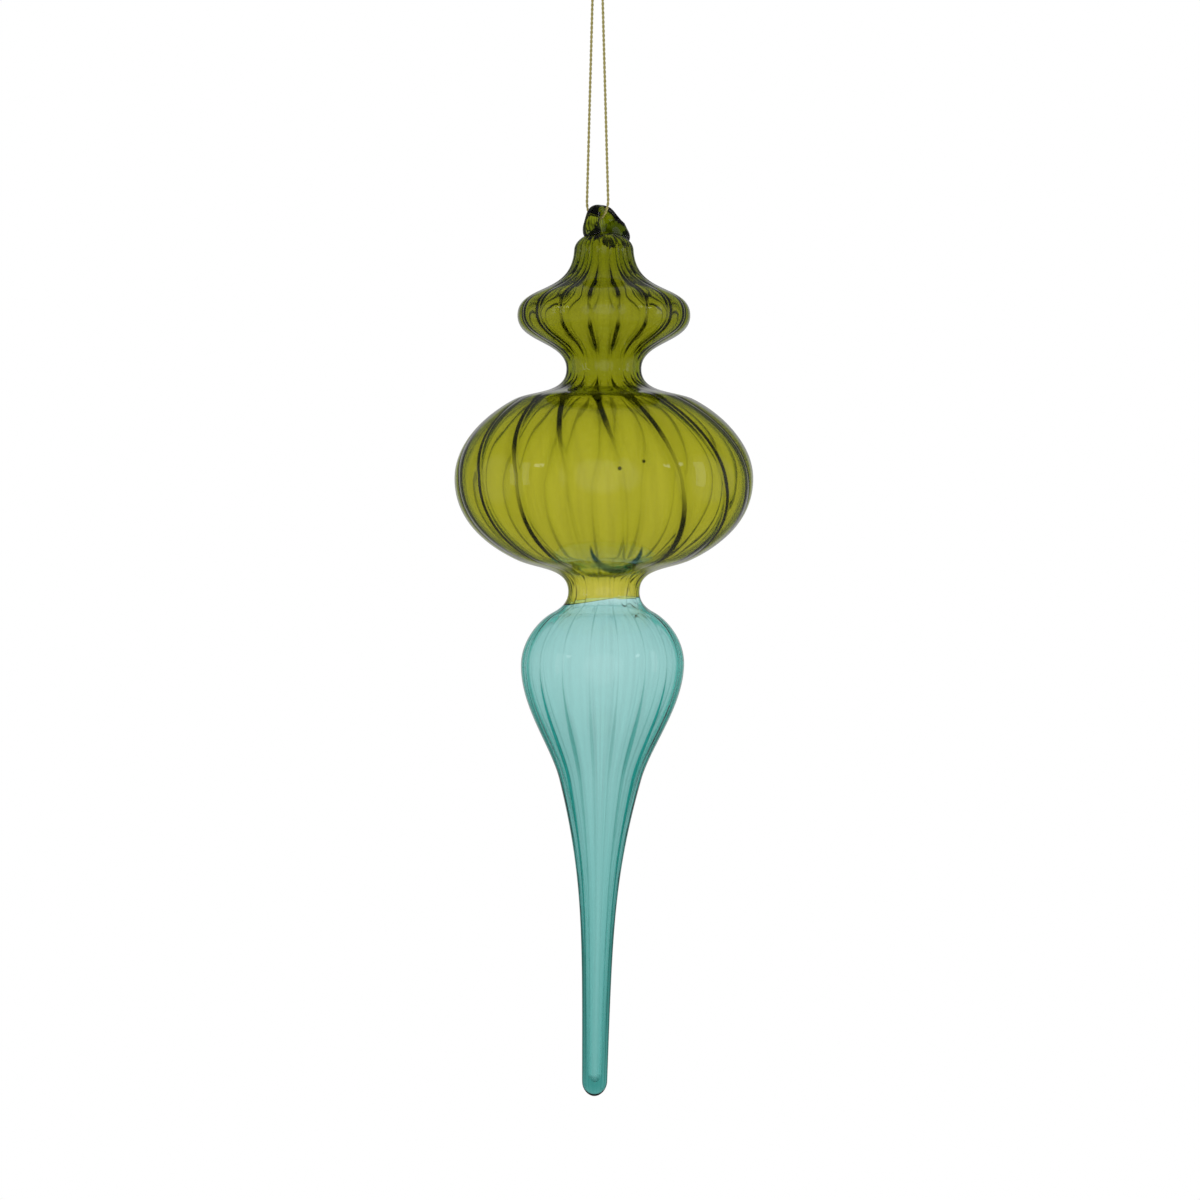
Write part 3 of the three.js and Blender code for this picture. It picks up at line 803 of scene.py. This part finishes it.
# The aqua drop is a second gather of glass, fused to the green at the lower neck and drawn out to a
# long stem, which leans a little. It is hollow down to its solid tip.
seam_bottom = SEAM - SEAM_GAP / 2
aqua_outline = part_below(outside, seam_bottom)[::-1] + part_below(bore, seam_bottom)
aqua = turned_glass("aqua_glass_drawn", aqua_outline, AQUA_SEGMENTS)
shape_glass(aqua, aqua_outline)
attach(aqua, "glass")
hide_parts("aqua_glass_drop")

# The same values of the aqua glass, all of it below the waist
AQUA_COLOURS = [(1, 1, 1, 1), (0.003, 0.42, 0.35, 1), (0.03, 0.6, 0.48, 1), (1, 1, 1, 1)]
AQUA_ABSORBED = (0.5, 0.79, 0.775, 1)
AQUA_DENSITY = 850
AQUA_LINES = 0.42
AQUA_STREAKS = 0.25
AQUA_SEEDS = [(-0.005, -0.0192, -0.2226)]

aqua_glass, shader = clear_glass("aqua_glass", AQUA_ABSORBED, AQUA_DENSITY)
blown_finish(aqua_glass, shader, AQUA_COLOURS, AQUA_LINES, AQUA_STREAKS, seeds=AQUA_SEEDS)
aqua.data.materials.append(aqua_glass)


# The hook is a solid trail of the same green glass. It was laid on the neck's right side, drawn up
# over the cord and pressed down on the crown in front, where it ends in a blob.

# How far apart the trail's rings lie, their sides, and over what length its thickness changes
TRAIL_STEP = 0.0004
TRAIL_SIDES = 40
TRAIL_BLEND = 0.0018
# How coarse the glass's streaks are on the trail, round it and along it
TRAIL_ROUND = 0.06
TRAIL_LENGTHWISE = 12
# From the front towards the back, square to the plane of the thread
HOOK_ALONG = Vector((0, 0, 1)).cross(CORD_ACROSS)
# From the root on the neck to the tip on the crown: how far behind the thread, how far across it to
# the right, the height above the glass's top, the trail's half thickness and half breadth, and how
# strongly painted shade lines show along its folds
HOOK_ROUTE = [
    (0.0062, 0.0041, -0.0044, 0.001, 0.0026, 0.3),
    (0.006, 0.0031, -0.0019, 0.0032, 0.0037, 0.4),
    (0.0054, 0.0012, 0.0008, 0.0036, 0.0042, 0.5),
    (0.0049, 0.0003, 0.0035, 0.0024, 0.0034, 0.6),
    (0.0032, 0.0004, 0.0056, 0.0018, 0.0024, 0.8),
    (0.0008, 0, 0.0061, 0.0017, 0.0022, 1),
    (-0.0012, 0.0001, 0.0057, 0.0017, 0.0022, 1),
    (-0.0024, 0, 0.0033, 0.0018, 0.0022, 0.9),
    (-0.0034, 0.0006, 0.0006, 0.0021, 0.0028, 0.9),
    (-0.0043, 0.0019, -0.0014, 0.002, 0.0027, 1.6),
    (-0.005, 0.0022, -0.0026, 0.0018, 0.0024, 2.4),
]


def trail_mesh():
    """The trail as a closed oval tube that follows its route, with its length and its turn kept."""
    points = []
    halves = []
    for behind, across, height, *half in HOOK_ROUTE:
        place = HOOK_ALONG * behind + CORD_ACROSS * across
        points.append(place + Vector((0, 0, height + GLASS_PLACE.z)))
        halves.append(Vector(half))
    path = smooth_path(points, TRAIL_STEP)
    runs = [0.0]
    for a, b in zip(path, path[1:]):
        runs.append(runs[-1] + (b - a).length)
    bm = bmesh.new()
    way = bm.verts.layers.float_vector.new("flute_way")
    line = bm.verts.layers.float.new("line")
    rings = []
    for i in range(1, len(path) - 1):
        point = path[i]
        tangent = (path[i + 1] - path[i - 1]).normalized()
        side = (CORD_ACROSS - tangent * CORD_ACROSS.dot(tangent)).normalized()
        up = side.cross(tangent)
        weights = [math.exp(-(((a - point).length / TRAIL_BLEND) ** 2)) for a in points]
        blended = sum((half * weight for half, weight in zip(halves, weights)), Vector()) / sum(weights)
        thickness, breadth, fold_shade = blended
        from_end = min(runs[i], runs[-1] - runs[i])
        rounding = math.sqrt(1 - max(1 - from_end / thickness, 0) ** 2)
        ring = []
        for j in range(TRAIL_SIDES):
            angle = 2 * math.pi * j / TRAIL_SIDES
            out = breadth * math.cos(angle) * side + thickness * math.sin(angle) * up
            ring.append(bm.verts.new(point + rounding * out))
            turn = Vector((math.sin(angle), math.cos(angle))) * TRAIL_ROUND
            ring[-1][way] = (*turn, runs[i] * TRAIL_LENGTHWISE)
            ring[-1][line] = fold_shade
        rings.append(ring)
    for lower, upper in zip(rings, rings[1:]):
        for j in range(TRAIL_SIDES):
            k = (j + 1) % TRAIL_SIDES
            bm.faces.new((lower[j], lower[k], upper[k], upper[j]))
    for ring, end in ((rings[0], path[0]), (rings[-1], path[-1])):
        pole = bm.verts.new(end)
        for j in range(TRAIL_SIDES):
            bm.faces.new((ring[j], ring[(j + 1) % TRAIL_SIDES], pole))
    return finished_mesh(bm, "glass_hook_trail")


hook = new_object("glass_hook_trail", trail_mesh())
select_only(hook)
bpy.ops.object.shade_smooth()
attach(hook, "glass")
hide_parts("glass_hook")

# The same values of the hook's glass, and the depth of its relief
HOOK_COLOURS = [(1, 0.95, 1, 1), (0.003, 0.004, 0.001, 1), (0.8, 0.8, 0.5, 1), (1, 0.95, 1, 1)]
HOOK_ABSORBED = (0.75, 0.785, 0.25, 1)
HOOK_DENSITY = 1700
HOOK_LINES = 0.5
HOOK_STREAKS = 5
HOOK_RELIEF = 0.0006

hook_glass, shader = clear_glass("hook_glass", HOOK_ABSORBED, HOOK_DENSITY)
blown_finish(hook_glass, shader, HOOK_COLOURS, HOOK_LINES, HOOK_STREAKS, relief=HOOK_RELIEF)
hook.data.materials.append(hook_glass)


# The studio: a pale floor under the hanging ornament, which turns white away from its shadow, and a
# white surround that darkens overhead and underfoot. What the glass mirrors is dark, but for a white
# card on each of four sides, the brightest one in front.
FLOOR_HEIGHT = -0.56
FLOOR_SIZE = 8.0
FLOOR_COLOUR = (0.9, 0.9, 0.9, 1)
FLOOR_ROUGHNESS = 0.9
SHADOW_REACH = 0.9
BULB_MIDDLE = Vector((0.0018, -0.0013, -0.148))
WHITE = (1, 1, 1, 1)
# How steep a direction is where the surround starts to darken and where it is darkest
DARKENS_FROM = 0.6
DARKEST_FROM = 0.95
OVERHEAD_COLOUR = (0.5, 0.5, 0.5, 1)
# How bright the surround and the cards are in the glass's sheen, and the cosines between which a card
# comes, round from its middle
SURROUND_DARK = 0.16
CARD_BRIGHT = 0.5
FRONT_CARD_BRIGHT = 1.0
CARD_EDGE = (0.85, 0.95)


def mirrored_rays(tree):
    """One for a ray that a surface mirrors, and nothing for one that goes through glass."""
    ray = tree.nodes.new("ShaderNodeLightPath")
    through = worked_out(tree, "SUBTRACT", 1, ray.outputs["Is Transmission Ray"])
    return worked_out(tree, "MULTIPLY", ray.outputs["Is Glossy Ray"], through)


def mirrored_level(tree, direction):
    """How bright the dark surround and its cards are in a mirrored ray that goes in a direction."""
    unit = split_up(tree, vectors_worked_out(tree, "NORMALIZE", direction)["Vector"])
    towards_side = worked_out(tree, "ABSOLUTE", unit["X"])
    towards_end = worked_out(tree, "ABSOLUTE", unit["Y"])
    towards_card = worked_out(tree, "MAXIMUM", towards_side, towards_end)
    cards = between(tree, towards_card, *CARD_EDGE, SURROUND_DARK, CARD_BRIGHT)
    towards_front = worked_out(tree, "MULTIPLY", unit["Y"], -1)
    front_card = between(tree, towards_front, *CARD_EDGE, 0, FRONT_CARD_BRIGHT - CARD_BRIGHT)
    return worked_out(tree, "ADD", cards, front_card)


bpy.ops.object.select_all(action="DESELECT")
bpy.ops.mesh.primitive_plane_add(size=FLOOR_SIZE, location=(0, 0, FLOOR_HEIGHT))
floor = bpy.context.object
floor.name = "floor"
floor_paint, nodes, links, shader = principled("floor_paint")
shader.inputs["Base Color"].default_value = FLOOR_COLOUR
shader.inputs["Roughness"].default_value = FLOOR_ROUGHNESS
tree = floor_paint.node_tree
on_floor = nodes.new("ShaderNodeTexCoord").outputs["Object"]
from_middle = vectors_worked_out(tree, "LENGTH", on_floor)["Value"]
past_shadow = between(tree, from_middle, SHADOW_REACH / 3, SHADOW_REACH)
mirrored = mirrored_rays(tree)
bulb_above = (0, 0, BULB_MIDDLE.z - FLOOR_HEIGHT)
from_bulb = vectors_worked_out(tree, "SUBTRACT", on_floor, bulb_above)["Vector"]
white = nodes.new("ShaderNodeEmission")
links.new(mixed(tree, mirrored, WHITE, mirrored_level(tree, from_bulb)), white.inputs["Color"])
blend = nodes.new("ShaderNodeMixShader")
links.new(worked_out(tree, "MAXIMUM", past_shadow, mirrored), blend.inputs["Fac"])
links.new(shader.outputs["BSDF"], blend.inputs[1])
links.new(white.outputs["Emission"], blend.inputs[2])
links.new(blend.outputs["Shader"], nodes["Material Output"].inputs["Surface"])
floor.data.materials.append(floor_paint)

world = bpy.data.worlds.new("studio")
world.use_nodes = True
bpy.context.scene.world = world
tree = world.node_tree
direction = tree.nodes.new("ShaderNodeTexCoord").outputs["Generated"]
steepness = worked_out(tree, "ABSOLUTE", split_up(tree, direction)["Z"])
surround = ramp(tree, steepness, (DARKENS_FROM, WHITE), (DARKEST_FROM, OVERHEAD_COLOUR))
surround = mixed(tree, mirrored_rays(tree), surround, mirrored_level(tree, direction))
ray = tree.nodes.new("ShaderNodeLightPath")
seen = mixed(tree, ray.outputs["Is Camera Ray"], surround, WHITE)
tree.links.new(seen, tree.nodes["Background"].inputs["Color"])

# Soft boxes stand to the left and the right in front, a small high one and a tall one on each side:
# the degrees round from the camera, the height above the bulb, the size and the power
SOFT_BOX_DISTANCE = 1.3
SOFT_BOXES = [
    ("small_left", -51, 0.36, (0.2, 0.12), 0.3), ("small_right", 52, 0.36, (0.2, 0.12), 0.3),
    ("tall_left", -64, 0.1, (0.24, 0.7), 0.6), ("tall_right", 78, 0.1, (0.24, 0.7), 0.6),
]
for name, degrees, height, size, power in SOFT_BOXES:
    box_data = bpy.data.lights.new(name, "AREA")
    box_data.shape = "RECTANGLE"
    box_data.size, box_data.size_y = size
    box_data.energy = power
    box = bpy.data.objects.new(name, box_data)
    bpy.context.scene.collection.objects.link(box)
    angle = math.radians(degrees)
    place = Vector((math.sin(angle) * SOFT_BOX_DISTANCE, -math.cos(angle) * SOFT_BOX_DISTANCE, height))
    box.location = BULB_MIDDLE + place
    box.rotation_euler = place.to_track_quat("Z", "Y").to_euler()
    box.visible_camera = False
    box.visible_transmission = False

bpy.context.scene.view_settings.view_transform = "Standard"
